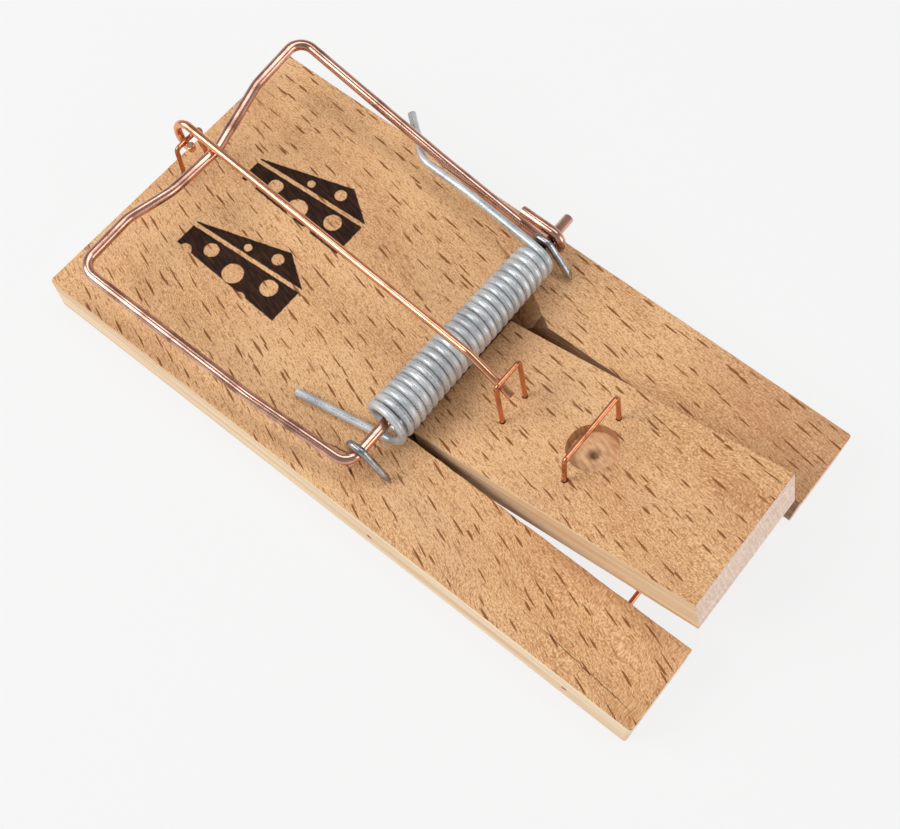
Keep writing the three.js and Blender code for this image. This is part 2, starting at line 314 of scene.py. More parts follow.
def burnedWedges(finish, x, y):
    acrossMark = wedgeMark["spacing"]
    px = x - wedgeMark["middleX"]
    py = (y - wedgeMark["lowY"]).wrapped(0.0, acrossMark) - acrossMark / 2
    ragged = (finish.noise(finish.vector(x, y), 1.6, 3.0) - 0.5) * 0.22
    inside = None
    corners = wedgeMark["outline"]
    for start, end in zip(corners, corners[1:] + corners[:1]):
        side = offLine(px, py, start, end)
        inside = side if inside is None else inside.atLeast(side)
    mark = (ragged - inside).fade(-0.08, 0.10)
    line = abs(offLine(px, py, *wedgeMark["rindLine"]))
    mark = mark * (line + ragged).fade(0.22, 0.38)
    for hx, hy, radius in wedgeMark["holes"]:
        dx, dy = px - hx, py - hy
        away = (dx * dx + dy * dy) ** 0.5
        mark = mark * (away - radius + ragged).fade(-0.06, 0.12)
    band = y.fade(-12.2, -12.0) * (1.0 - y.fade(14.3, 14.5))
    return mark * band


# fine cracks: two ends, and half the width at the middle
crackLines = [
    ((-3.6, -18.9), (0.2, -18.3), 0.10),
    ((0.9, -19.7), (2.0, -20.3), 0.16),
    ((31.0, -20.9), (48.4, -22.6), 0.05),
]


def cracks(finish, x, y):
    wander = (finish.grain(x * 0.8, y * 0.8) - 0.5) * 0.5
    found = None
    for start, end, half in crackLines:
        run = Vector(end) - Vector(start)
        ux, uy = run / run.length_squared
        along = (x - start[0]) * ux + (y - start[1]) * uy
        aside = abs(offLine(x, y, start, end) + wander)
        spindle = (along * (1.0 - along)).atLeast(0.0) * 4.0 * half
        line = (spindle - aside).fade(-0.03, 0.03) * along.fade(0.0, 0.06) * (1.0 - along.fade(0.94, 1.0))
        found = line if found is None else found.atLeast(line)
    return found


def beechSide(name, tilt=0.0, pivot=(0, 0, 0), seed=0.0, warm=0.0):
    finish = Finish(name, tilt, pivot)
    x, z = finish.x, finish.z
    lean = z + x * 0.006
    broad = finish.grain(x * 0.012 + seed, lean * 0.55)
    fine = finish.grain(x * 0.035 + seed, lean * 3.4, 5.0, 0.65)
    hair = finish.grain(x * 0.14, lean * 11.0 + seed)
    ray = finish.grain(x * 1.8, lean * 2.2, 2.0)
    tone = ((broad - 0.5) * 1.6 + (fine - 0.5) * 1.5 + (hair - 0.5) * 0.6 + (ray - 0.5) * 0.25 + 0.45 + warm)
    colour = finish.blend(tone.fade(0.0, 1.0), srgb(250, 228, 193), srgb(216, 170, 124))
    line = fine.fade(0.60, 0.72) * 0.35
    colour = finish.blend(line, colour, srgb(176, 126, 82))
    return finish.finish(colour, 0.62, fine + hair * 0.5, height=0.04, strength=0.5)


def beechEnd(name, tilt=0.0, pivot=(0, 0, 0), seed=0.0):
    finish = Finish(name, tilt, pivot)
    y, z = finish.y, finish.z
    pores = finish.grain(y * 2.6 + seed, z * 2.6, 3.0, 0.7)
    rays = finish.grain(y * 2.4 + z * 0.5, z * 0.35 + seed, 2.0)
    rings = finish.grain(y * 0.05 + seed, z * 0.9, 2.0)
    tone = (pores - 0.5) * 1.5 + (rays - 0.5) * 0.9 + (rings - 0.5) * 0.8 + 0.45
    colour = finish.blend(tone.fade(0.0, 1.0), srgb(250, 227, 211), srgb(212, 175, 151))
    return finish.finish(colour, 0.75, pores, height=0.06, strength=0.6)


def roughBeech(name, light, dark, seed, scale=(0.25, 2.2, 2.2)):
    finish = Finish(name)
    x, y, z = finish.x, finish.y, finish.z
    stretched = finish.vector(x * scale[0] + seed, y * scale[1], z * scale[2])
    fibre = finish.noise(stretched, 1.0, 5.0, 0.65)
    blotch = finish.noise(finish.vector(x * 0.3, y * 0.3 + seed, z * 0.5), 1.0, 3.0)
    tone = (fibre - 0.5) * 1.8 + (blotch - 0.5) * 0.8 + 0.5
    colour = finish.blend(tone.fade(0.0, 1.0), light, dark)
    return finish.finish(colour, 0.8, fibre, height=0.12, strength=0.7)


def drilledFloor(name):
    # the bait hole: rings left by the bit, a painted shade in the dimple at its middle and on the hole's wall
    finish = Finish(name, pedalPlace["rise"], pedalPivot)
    x, y = finish.x, finish.y
    dx, dy = x - pedalShape["holeAt"], y - pedalShape["holeY"]
    away = (dx * dx + dy * dy) ** 0.5
    rings = (away * 7.5 + finish.noise(finish.vector(dx, dy), 0.6, 1.0) * 1.2).sine()
    grain = finish.grain(x * 0.5, y * 2.0 + x * 0.5)
    # painted shade: dark in the bit's dimple at the middle
    dimpleShade = 1.0 - away.fade(0.35, 1.15)
    tone = (grain - 0.5) * 1.5 + rings * 0.04 + 0.38
    colour = finish.blend(tone.fade(0.0, 1.0), srgb(240, 194, 148), srgb(172, 120, 78))
    colour = finish.blend(dimpleShade * 0.75, colour, srgb(84, 50, 30))
    # painted shade on the hole's wall and the floor's rim beside it
    wall = away.fade(3.35, 3.45)
    colour = finish.blend(wall * 0.5, colour, srgb(164, 110, 68))
    return finish.finish(colour, 0.75, rings * 0.15 + grain * 0.5, height=0.06, strength=0.4)


# wire finishes
wireLooks = {
    # clean, tarnished, spot colour, smooth and rough limits, share of tarnish
    "bow": (srgb(226, 176, 156), srgb(148, 108, 95), srgb(118, 118, 104), 0.14, 0.24, 0.50),
    "rod": (srgb(238, 172, 134), srgb(182, 114, 78), srgb(108, 112, 94), 0.14, 0.24, 0.40),
    "staple": (srgb(214, 142, 104), srgb(138, 80, 52), srgb(96, 88, 72), 0.20, 0.34, 0.45),
}


def copperWash(name, look, seed):
    clean, tarnished, spotColour, smooth, rough, share = wireLooks[look]
    finish = Finish(name)
    spot = finish.spot
    patches = finish.noise(spot, 0.22, 4.0, 0.6, 0.6)
    fine = finish.noise(spot, 2.6 + seed * 0.01, 4.0, 0.7)
    run = finish.node("ShaderNodeAttribute", {"attribute_name": "run"}, {}, output=2)
    rim = finish.node("ShaderNodeAttribute", {"attribute_name": "rim"}, {}, output=1)
    lines = finish.vector(rim.part(0) * 3.0 + seed, rim.part(1) * 3.0, run * 55.0)
    drawn = finish.noise(lines, 1.0, 3.0, 0.7)
    tarnish = ((patches - 0.5) * 1.6 + (fine - 0.5) * 0.3 + (drawn - 0.5) * 0.35 + share).fade(0.30, 0.85)
    colour = finish.blend(tarnish, clean, tarnished)
    green = finish.noise(spot, 0.5, 2.0).fade(0.60, 0.72) * fine.fade(0.45, 0.65)
    colour = finish.blend(green * 0.6, colour, spotColour)
    roughness = tarnish * (rough - smooth) + smooth + green * 0.15
    relief = drawn * 0.6 + fine * 0.4
    return finish.finish(colour, roughness, relief, metallic=1.0, height=0.006, strength=0.12)


def zincSpring(name):
    finish = Finish(name)
    spot = finish.spot
    cloud = finish.noise(spot, 0.35, 4.0)
    grit = finish.noise(spot, 5.5, 3.0, 0.7)
    run = finish.node("ShaderNodeAttribute", {"attribute_name": "run"}, {}, output=2)
    rim = finish.node("ShaderNodeAttribute", {"attribute_name": "rim"}, {}, output=1)
    drawn = finish.noise(finish.vector(rim.part(0) * 3.0, rim.part(1) * 3.0, run * 90.0), 1.0, 3.0, 0.7)
    tone = (cloud - 0.5) * 1.2 + (grit - 0.5) * 0.7 + (drawn - 0.5) * 0.7 + 0.5
    colour = finish.blend(tone.fade(0.1, 0.9), srgb(226, 229, 230), srgb(172, 179, 184))
    scuff = drawn.fade(0.55, 0.63) * grit.fade(0.50, 0.58)
    colour = finish.blend(scuff * 0.85, colour, srgb(70, 76, 78))
    roughness = tone * 0.12 + 0.30
    return finish.finish(colour, roughness, grit + drawn * 0.5, metallic=0.42, height=0.012, strength=0.5)


def nailSteel(name):
    finish = Finish(name)
    spot = finish.spot
    cloud = finish.noise(spot, 0.7, 4.0)
    grit = finish.noise(spot, 4.0, 3.0, 0.7)
    tone = (cloud - 0.5) * 1.4 + (grit - 0.5) * 0.8 + 0.5
    colour = finish.blend(tone.fade(0.1, 0.9), srgb(196, 198, 200), srgb(116, 118, 122))
    roughness = tone * 0.12 + 0.22
    return finish.finish(colour, roughness, grit, metallic=1.0, height=0.008, strength=0.25)


def cutMetal(name, light, dark):
    finish = Finish(name)
    spot = finish.spot
    grit = finish.noise(spot, 3.5, 4.0, 0.7)
    colour = finish.blend(grit.fade(0.35, 0.65), light, dark)
    return finish.finish(colour, 0.45, grit, metallic=0.8, height=0.03, strength=0.6)


print("making finishes")
rise = pedalPlace["rise"]
woods = {
    "face": beechFace("beech_face", withMark=True),
    "side": beechSide("beech_side", seed=2.0),
    "end": beechEnd("beech_end", seed=1.0),
    # sawn slot walls and the chip's bottom: rough sawn wood, darkened as painted shade
    "kerfAndShade": roughBeech("beech_sawn_slot_and_shade", srgb(182, 142, 110), srgb(114, 84, 62), 3.0),
    # the chip's walls: pale torn fibres, lightened further as painted light
    "tornAndLit": roughBeech("beech_torn_and_lit", srgb(255, 222, 178), srgb(206, 150, 102), 6.0, (1.4, 3.0, 0.5)),
    # hole walls, and the chip's low and far parts: drilled wood, darkened as painted shade
    "hole": roughBeech("beech_drilled_and_shade", srgb(176, 128, 88), srgb(112, 74, 48), 9.0, (1.5, 1.5, 1.0)),
    "baitHole": drilledFloor("beech_drilled_floor"),
    "pedalFace": beechFace("pedal_face", rise, pedalPivot, seed=7.3),
    # the pedal's side is a little lighter than the board's side: painted light
    "pedalSide": beechSide("pedal_side", rise, pedalPivot, seed=5.0, warm=-0.02),
    "pedalEnd": beechEnd("pedal_end", rise, pedalPivot, seed=4.0),
}
wires = {
    "bow": copperWash("copper_bow", "bow", 1.0),
    "rod": copperWash("copper_rod", "rod", 4.0),
    "staple": copperWash("copper_staple", "staple", 7.0),
    "spring": zincSpring("zinc_spring"),
    "nail": nailSteel("nail_steel"),
    "cutCopper": cutMetal("cut_copper_end", srgb(196, 160, 138), srgb(128, 96, 80)),
    "cutSteel": cutMetal("cut_steel_end", srgb(190, 192, 194), srgb(96, 100, 104)),
}


# wire shapes
def bentPath(corners, radii, stepAngle=5.0):
    # straight runs between corner points, each inner corner rounded to its own bend radius
    points = [Vector(corners[0])]
    for index in range(1, len(corners) - 1):
        here = Vector(corners[index])
        back = (Vector(corners[index - 1]) - here).normalized()
        ahead = (Vector(corners[index + 1]) - here).normalized()
        half = back.angle(ahead) / 2
        radius = radii[index - 1]
        setBack = radius / math.tan(half)
        centre = here + (back + ahead).normalized() * (radius / math.sin(half))
        start = here + back * setBack - centre
        end = here + ahead * setBack - centre
        normal = start.cross(end).normalized()
        sweep = start.angle(end)
        steps = max(3, math.ceil(sweep / math.radians(stepAngle)))
        for step in range(steps + 1):
            points.append(centre + Matrix.Rotation(sweep * step / steps, 3, normal) @ start)
    points.append(Vector(corners[-1]))
    return points


def wornEnd(points, widths, amount):
    # the wire thins over a short stretch at its first point, as a cut end does
    inward = (points[1] - points[0]).normalized()
    shares = (0.0, 0.18, 0.5, 1.0)
    lead = [points[0] + inward * amount * share for share in shares]
    thin = [widths[0] - amount + amount * math.sin(math.acos(1.0 - share)) for share in shares]
    return lead + points[1:], thin + widths[1:]


def withEnds(points, radius, rounding):
    points, widths = wornEnd(points, [radius] * len(points), rounding[0])
    points, widths = wornEnd(points[::-1], widths[::-1], rounding[1])
    return points[::-1], widths[::-1]


def wireLine(name, points, widths):
    mesh = bpy.data.meshes.new(name)
    mesh.from_pydata([p * mm for p in points], [(i, i + 1) for i in range(len(points) - 1)], [])
    thickness = mesh.attributes.new("thickness", "FLOAT", "POINT")
    thickness.data.foreach_set("value", [w * mm for w in widths])
    return placed(name, mesh)


def addSocket(tree, name, kind, default=None, way="INPUT"):
    socket = tree.interface.new_socket(name, in_out=way, socket_type=kind)
    if default is not None:
        socket.default_value = default
    return socket


def sweepWire(bench, line, thickness, sides, material):
    # sweeps a round section along a line, keeping the run along it and the place round its rim
    curve = bench.node("GeometryNodeMeshToCurve", {}, {"Mesh": line})
    run = bench.node("GeometryNodeSplineParameter", {}, {}, output=1)
    curve = bench.node("GeometryNodeStoreNamedAttribute", {"data_type": "FLOAT", "domain": "POINT"},
                       {"Geometry": curve, "Name": "run", "Value": run})
    ring = bench.node("GeometryNodeCurvePrimitiveCircle", {}, {"Resolution": sides, "Radius": 1.0})
    spot = bench.node("GeometryNodeInputPosition")
    ring = bench.node("GeometryNodeStoreNamedAttribute", {"data_type": "FLOAT_VECTOR", "domain": "POINT"},
                      {"Geometry": ring, "Name": "rim", "Value": spot})
    swept = bench.node("GeometryNodeCurveToMesh", {}, {
        "Curve": curve, "Profile Curve": ring, "Scale": thickness, "Fill Caps": True})
    swept = bench.node("GeometryNodeSetShadeSmooth", {}, {"Geometry": swept})
    swept = bench.node("GeometryNodeRealizeInstances", {}, {"Geometry": swept})
    return bench.node("GeometryNodeSetMaterial", {}, {"Geometry": swept, "Material": material})


def makeDrawnWireTree():
    tree = bpy.data.node_groups.new("drawnWire", "GeometryNodeTree")
    addSocket(tree, "Line", "NodeSocketGeometry")
    addSocket(tree, "Sides", "NodeSocketInt", 24)
    addSocket(tree, "Finish", "NodeSocketMaterial")
    addSocket(tree, "Wire", "NodeSocketGeometry", way="OUTPUT")
    bench = Bench(tree)
    given = bench.node("NodeGroupInput").socket.node
    line, sides, material = (Signal(bench, given.outputs[name]) for name in ("Line", "Sides", "Finish"))
    thickness = bench.node("GeometryNodeInputNamedAttribute", {"data_type": "FLOAT"}, {"Name": "thickness"})
    wire = sweepWire(bench, line, thickness, sides, material)
    bench.node("NodeGroupOutput", {}, {"Wire": wire})
    return tree


def setInputs(modifier, values):
    for item in modifier.node_group.interface.items_tree:
        if item.item_type == "SOCKET" and item.in_out == "INPUT" and item.name in values:
            modifier[item.identifier] = values[item.name]


def baked(piece, name):
    # the evaluated shape as a plain mesh on a new object; the working object goes
    bpy.context.view_layer.update()
    evaluated = piece.evaluated_get(bpy.context.evaluated_depsgraph_get())
    mesh = bpy.data.meshes.new_from_object(evaluated)
    mesh.name = name
    bpy.data.objects.remove(piece)
    return placed(name, mesh)


def flatCaps(piece, capMaterial):
    mesh = piece.data
    mesh.materials.append(capMaterial)
    for face in mesh.polygons:
        if len(face.vertices) > 4:
            face.use_smooth = False
            face.material_index = len(mesh.materials) - 1


def drawnWire(name, points, radius, material, capMaterial, sides=24, rounding=(0.16, 0.16), widths=None):
    if widths is None:
        points, widths = withEnds(points, radius, rounding)
    line = wireLine(name + "_line", points, widths)
    modifier = line.modifiers.new("drawnWire", "NODES")
    modifier.node_group = drawnWireTree
    setInputs(modifier, {"Sides": sides, "Finish": material})
    piece = baked(line, name)
    flatCaps(piece, capMaterial)
    return piece


drawnWireTree = makeDrawnWireTree()

print("bending the bow")
bowShape = {
    "wire": 0.75,
    "slope": 0.0948,  # rise for each mm away from the axle
    "twist": 0.00102,  # extra rise for each mm away and each mm across
    "leftArmY": -20.45,
    "rightArmY": 21.65,
    "leftArmMiddle": (-14.0, -21.6),
    "crossbarX": -43.0,
    "crossbar": [(0.0, -22.1), (-0.1, -13.0), (1.7, -6.0), (2.1, 2.4), (-0.5, 13.4), (-0.85, 22.9)],
    "rightArmMiddle": (-17.0, 21.8, 5.0),
    "bends": [2.0, 30.0, 2.3, 5.0, 12.0, 3.0, 4.0, 2.3, 30.0],
    "hookRadius": 1.62,
    "hookStart": 1.2,  # where the right arm starts to hook, behind the axle
    "tail": 5.2,
}


def onBow(x, y):
    away = axlePlace["x"] - x
    return (x, y, boardTop + axlePlace["height"] + bowShape["slope"] * away + bowShape["twist"] * away * y)


def makeBow():
    axleX, axleZ = axlePlace["x"], boardTop + axlePlace["height"]
    hookR, armY, barX = bowShape["hookRadius"], bowShape["rightArmY"], bowShape["crossbarX"]
    x, y, height = bowShape["rightArmMiddle"]
    corners = [(axleX, axlePlace["end"], axleZ), (axleX, bowShape["leftArmY"], axleZ)]
    corners += [onBow(*bowShape["leftArmMiddle"])] + [onBow(barX + dx, y) for dx, y in bowShape["crossbar"]]
    corners += [(x, y, boardTop + height), (axleX - bowShape["hookStart"], armY, axleZ - hookR)]
    points = bentPath(corners, bowShape["bends"])
    steps = 24
    for step in range(steps + 1):
        angle = -math.pi / 2 + math.pi * step / steps
        points.append(Vector((axleX + hookR * math.cos(angle), armY + 0.25 * step / steps,
                              axleZ + hookR * math.sin(angle))))
    points.append(Vector((axleX - bowShape["tail"], armY + 0.35, axleZ + hookR - 0.05)))
    return drawnWire("bow_wire", points, bowShape["wire"], wires["bow"], wires["cutCopper"], 28, (0.22, 0.12))


bow = makeBow()

print("winding the spring")
springShape = {
    "wire": 0.60,
    "startY": -13.35,
    "endY": 18.4,
    "turns": 25.5,
    "lead": 0.5,  # how far the first turn stands off the next one
    "stepsPerTurn": 48,
    "radiusLow": 2.88,
    "radiusHigh": 2.18,
    "heightLow": 3.67,
    "heightHigh": 3.26,
    "middleXLow": 1.8,
    "middleXHigh": 1.95,
    "lowArm": (-11.1, -6.0, -1.5, 0.1),
    "lowArmHeight": 0.79,
    "lowArmSlope": 0.1775,
    "highArm": [(0.4, 18.62, 5.41), (-10.9, 19.95, 4.6), (-19.6, 20.55, 4.0), (-25.9, 25.7, 3.75)],
    "highArmBends": [30.0, 3.5],
}
coilLengths = {
    "Start Y": springShape["startY"],
    "End Y": springShape["endY"],
    "Radius Low": springShape["radiusLow"],
    "Radius High": springShape["radiusHigh"],
    "Height Low": boardTop + springShape["heightLow"],
    "Height High": boardTop + springShape["heightHigh"],
    "Middle X Low": springShape["middleXLow"],
    "Middle X High": springShape["middleXHigh"],
    "Wire Radius": springShape["wire"],
    "Lead": springShape["lead"],
}


def makeCloseCoilTree():
    tree = bpy.data.node_groups.new("closeCoil", "GeometryNodeTree")
    addSocket(tree, "Arms", "NodeSocketGeometry")
    for name in ["Turns", *coilLengths]:
        addSocket(tree, name, "NodeSocketFloat", 1.0)
    addSocket(tree, "Steps Per Turn", "NodeSocketInt", 48)
    addSocket(tree, "Sides", "NodeSocketInt", 20)
    addSocket(tree, "Finish", "NodeSocketMaterial")
    addSocket(tree, "Spring", "NodeSocketGeometry", way="OUTPUT")
    bench = Bench(tree)
    given = bench.node("NodeGroupInput").socket.node

    def take(name):
        return Signal(bench, given.outputs[name])

    steps = take("Turns") * take("Steps Per Turn")
    line = bench.node("GeometryNodeMeshLine", {}, {"Count": steps + 1.0, "Offset": (0, mm, 0)})
    index = bench.node("GeometryNodeInputIndex")
    share = index / steps
    angle = index / take("Steps Per Turn") * math.tau

    def between(low, high):
        return take(low) + (take(high) - take(low)) * share

    radius = between("Radius Low", "Radius High")
    x = between("Middle X Low", "Middle X High") + radius * angle.sine()
    z = between("Height Low", "Height High") - radius * angle.cosine()
    opening = (1.0 - index / take("Steps Per Turn")).atLeast(0.0) ** 2.0 * take("Lead")
    spot = bench.vector(x, between("Start Y", "End Y") - opening, z)
    coil = bench.node("GeometryNodeSetPosition", {}, {"Geometry": line, "Position": spot})
    whole = bench.node("GeometryNodeJoinGeometry", {}, {})
    arms = take("Arms")
    tree.links.new(arms.socket, whole.socket.node.inputs[0])
    tree.links.new(coil.socket, whole.socket.node.inputs[0])
    joined = bench.node("GeometryNodeMergeByDistance", {}, {"Geometry": whole, "Distance": 0.02 * mm})
    wire = sweepWire(bench, joined, take("Wire Radius"), take("Sides"), take("Finish"))
    bench.node("NodeGroupOutput", {}, {"Spring": wire})
    return tree


def coilPoint(share):
    # where the coil's centreline stands at a share of its whole run
    shape = springShape
    angle = math.tau * shape["turns"] * share
    radius = shape["radiusLow"] + (shape["radiusHigh"] - shape["radiusLow"]) * share
    x = shape["middleXLow"] + (shape["middleXHigh"] - shape["middleXLow"]) * share + radius * math.sin(angle)
    z = shape["heightLow"] + (shape["heightHigh"] - shape["heightLow"]) * share - radius * math.cos(angle)
    opening = shape["lead"] * max(0.0, 1.0 - shape["turns"] * share) ** 2
    y = shape["startY"] + (shape["endY"] - shape["startY"]) * share - opening
    return Vector((x, y, boardTop + z))


def makeSpring():
    shape = springShape
    first, last = coilPoint(0.0), coilPoint(1.0)
    lowArm = [Vector((x, first.y - shape["lowArmSlope"] * (first.x - x), boardTop + shape["lowArmHeight"]))
              for x in shape["lowArm"]] + [first]
    highArm = [last] + bentPath([(x, y, boardTop + z) for x, y, z in shape["highArm"]], shape["highArmBends"])
    verts = [p * mm for p in lowArm + highArm]
    edges = [(i, i + 1) for i in range(len(lowArm) - 1)]
    edges += [(len(lowArm) + i, len(lowArm) + i + 1) for i in range(len(highArm) - 1)]
    mesh = bpy.data.meshes.new("spring_arms")
    mesh.from_pydata(verts, edges, [])
    arms = placed("spring_arms", mesh)
    modifier = arms.modifiers.new("closeCoil", "NODES")
    modifier.node_group = makeCloseCoilTree()
    setInputs(modifier, {name: length * mm for name, length in coilLengths.items()})
    setInputs(modifier, {"Turns": shape["turns"], "Steps Per Turn": shape["stepsPerTurn"], "Sides": 20,
                         "Finish": wires["spring"]})
    piece = baked(arms, "spring_coil")
    flatCaps(piece, wires["cutSteel"])
    return piece


spring = makeSpring()

print("bending the rod")
rodShape = {
    "wire": 0.575,
    "bendX": 5.8,
    "tipX": 13.2,
    "overBowX": -40.0,
    "overBow": 9.3,
    "bendHeight": 10.45,
    "tipSlope": 0.305,
    "drift": -0.0675,
    "yAtBow": 1.72,
    "eyeX": -46.0,
    "eyeHeight": 7.43,
    "eyeHalfLength": 1.7,
    "eyeHalfHeight": 1.75,
    "eyeSweep": 280.0,
    "eyeShift": -1.5,
}


def makeRod():
    shape = rodShape

    def lineY(x):
        return shape["yAtBow"] + shape["drift"] * (x - shape["overBowX"])

    tipHeight = shape["bendHeight"] - shape["tipSlope"] * (shape["tipX"] - shape["bendX"])
    points = bentPath([
        (shape["tipX"], lineY(shape["tipX"]), boardTop + tipHeight),
        (shape["bendX"], lineY(shape["bendX"]), boardTop + shape["bendHeight"]),
        (shape["overBowX"], lineY(shape["overBowX"]), boardTop + shape["overBow"]),
    ], [4.0])
    steps = 60
    for step in range(steps + 1):
        angle = math.radians(90 + shape["eyeSweep"] * step / steps)
        points.append(Vector((shape["eyeX"] + shape["eyeHalfLength"] * math.cos(angle),
                              lineY(shape["eyeX"]) + shape["eyeShift"] * step / steps,
                              boardTop + shape["eyeHeight"] + shape["eyeHalfHeight"] * math.sin(angle))))
    return drawnWire("rod_wire", points, shape["wire"], wires["rod"], wires["cutCopper"], 24, (0.08, 0.10))


rod = makeRod()

print("bending the staples")
stapleShape = {
    "wire": 0.35,
    "bend": 0.6,
    "anchorX": -45.85,
    "anchorLegs": (-0.75, 3.8),
    "anchorHeight": 6.86,
    "anchorDepth": 5.0,
    "catchLegs": ((5.8, -2.86), (5.9, 1.85)),  # along the pedal from its hinge, and across it
    "catchCrown": (6.7, 8.58),
    "baitLegs": ((17.9, -5.42), (18.27, 5.59)),
    "baitCrown": (18.8, 5.5),
    "depth": 4.2,
}
riseTurn = Matrix.Rotation(math.radians(-pedalPlace["rise"]), 3, "Y")
hinge = Vector((pedalPlace["hingeX"], 0.0, pedalPlace["hingeZ"]))
pedalTop = boardTop - pedalPlace["hingeZ"]  # height of the pedal's face over its hinge


def stapleWire(name, points):
    return drawnWire(name, points, stapleShape["wire"], wires["staple"], wires["cutCopper"], 18, (0.05, 0.05))


def makeAnchorStaple():
    shape = stapleShape
    low, high = shape["anchorLegs"]
    x, foot, crown = shape["anchorX"], boardTop - shape["anchorDepth"], boardTop + shape["anchorHeight"]
    points = bentPath([(x, low, foot), (x, low, crown), (x, high, crown), (x, high, foot)],
                      [shape["bend"], shape["bend"]])
    return stapleWire("anchor_staple_wire", points)


def makePedalStaple(name, legs, crown):
    corners = []
    for along, across in legs:
        top = Vector((crown[0], across, pedalTop + crown[1]))
        surface = Vector((along, across, pedalTop))
        foot = surface + (surface - top).normalized() * stapleShape["depth"]
        corners.append((foot, top))
    (footA, topA), (footB, topB) = corners
    path = bentPath([footA, topA, topB, footB], [stapleShape["bend"], stapleShape["bend"]])
    return stapleWire(name, [hinge + riseTurn @ p for p in path])


anchorStaple = makeAnchorStaple()
catchStaple = makePedalStaple("catch_staple_wire", stapleShape["catchLegs"], stapleShape["catchCrown"])
baitStaple = makePedalStaple("bait_staple_wire", stapleShape["baitLegs"], stapleShape["baitCrown"])

print("clinching the nails")
nailShape = {
    "wire": 0.52,
    "crown": 5.16,
    "shoulderX": 2.45,
    "headRadius": 1.15,
    "headThick": 0.5,
    "pointLength": 1.5,
    "pointSteps": [0.0, 0.25, 0.7, 1.15],  # how far along the point its sections stand
    "pointRadii": [0.50, 0.36, 0.21, 0.09, 0.04],  # at the last five sections
    "bends": [1.0, 0.9],
}
nails = {
    "left": {"x": 0.3, "y": -18.45, "tipX": 6.6, "tipY": -18.1},
    "right": {"x": 0.3, "y": 20.15, "tipX": 6.9, "tipY": 20.05},
}


def makeNail(side):
    nail, shape = nails[side], nailShape
    crown = boardTop + shape["crown"]
    tip = Vector((nail["tipX"], nail["tipY"], boardTop + 0.3))
    points = bentPath([
        (nail["x"], nail["y"], 0.35), (nail["x"], nail["y"], crown), (shape["shoulderX"], nail["y"], crown),
        tip], shape["bends"])
    run = (tip - points[-2]).normalized()
    pointStart = tip - run * shape["pointLength"]
    points = points[:-1] + [pointStart + run * step for step in shape["pointSteps"]] + [tip - run * 0.08, tip]
    radii = shape["pointRadii"]
    widths = [shape["wire"]] * (len(points) - len(radii)) + radii
    shank = drawnWire("nail_" + side, points, shape["wire"], wires["nail"], wires["cutSteel"], widths=widths)
    # the point is cut on four sides, so its round section is squared towards the tip
    across = run.cross(Vector((0, 1, 0))).normalized()
    other = run.cross(across)
    for vertex in shank.data.vertices:
        offset = vertex.co / mm - pointStart
        depth = offset.dot(run)
        if depth <= 0.05 or offset.length > 2.2:
            continue
        a, b = offset.dot(across), offset.dot(other)
        size = math.hypot(a, b)
        if size < 1e-4:
            continue
        square = size / max(abs(a), abs(b)) * 0.88
        amount = min(1.0, depth / 0.5)
        scale = 1.0 + (square - 1.0) * amount
        vertex.co = (pointStart + run * depth + across * a * scale + other * b * scale) * mm
    return joined("nail_" + side, [shank, makeNailHead(nail)])


def turned(name, profile, segments, material):
    # a solid of revolution about Z from (radius, height) pairs that start and end on the axis
    shape = bmesh.new()
    rings = []
    for radius, height in profile:
        if radius <= 0:
            rings.append([shape.verts.new((0, 0, height * mm))])
        else:
            rings.append([shape.verts.new((radius * mm * math.cos(math.tau * i / segments),
                                           radius * mm * math.sin(math.tau * i / segments), height * mm))
                          for i in range(segments)])
    for low, high in zip(rings, rings[1:]):
        for i in range(segments):
            j = (i + 1) % segments
            corners = [low[i % len(low)], low[j % len(low)], high[j % len(high)], high[i % len(high)]]
            corners = list(dict.fromkeys(corners))
            if len(corners) > 2:
                shape.faces.new(corners)
    bmesh.ops.recalc_face_normals(shape, faces=shape.faces)
    made = solid(name, shape)
    made.data.materials.append(material)
    return made


def makeNailHead(nail):
    radius, thick = nailShape["headRadius"], nailShape["headThick"]
    head = turned("nail_head", [
        (0, 0.1), (radius - 0.12, 0.1), (radius - 0.03, 0.13), (radius, 0.2), (radius, 0.1 + thick - 0.06),
        (radius - 0.08, 0.1 + thick), (0.6, 0.1 + thick), (0, 0.1 + thick)], 40, wires["nail"])
    head.data.transform(Matrix.Translation((nail["x"] * mm, nail["y"] * mm, 0)))
    return head


def joined(name, pieces):
    # several meshes as one, keeping each one's materials
    shape = bmesh.new()
    materials = []
    for piece in pieces:
        mesh = piece.data
        first = len(shape.faces)
        shape.from_mesh(mesh)
        shape.faces.ensure_lookup_table()
        for face in shape.faces[first:]:
            material = mesh.materials[face.material_index]
            if material not in materials:
                materials.append(material)
            face.material_index = materials.index(material)
    for piece in pieces:
        bpy.data.objects.remove(piece)
    made = solid(name, shape)
    for material in materials:
        made.data.materials.append(material)
    return made


holeRadii = {"pin": 0.45, "staple": 0.42, "nail": 0.66, "nailHead": 1.3}
leftNail = makeNail("left")
rightNail = makeNail("right")


def makeCrossWire(name, x):
    reach = boardSize["width"] / 2 - 0.1
    z = pedalPlace["hingeZ"]
    points = [Vector((x, y, z)) for y in (-reach, -8.0, 8.0, reach)]
    return drawnWire(name, points, 0.35, wires["staple"], wires["cutCopper"], 20, (0.06, 0.06))


hingePin = makeCrossWire("hinge_pin_wire", pedalPlace["hingeX"])
stopWire = makeCrossWire("stop_cross_wire", pedalPlace["stopX"])


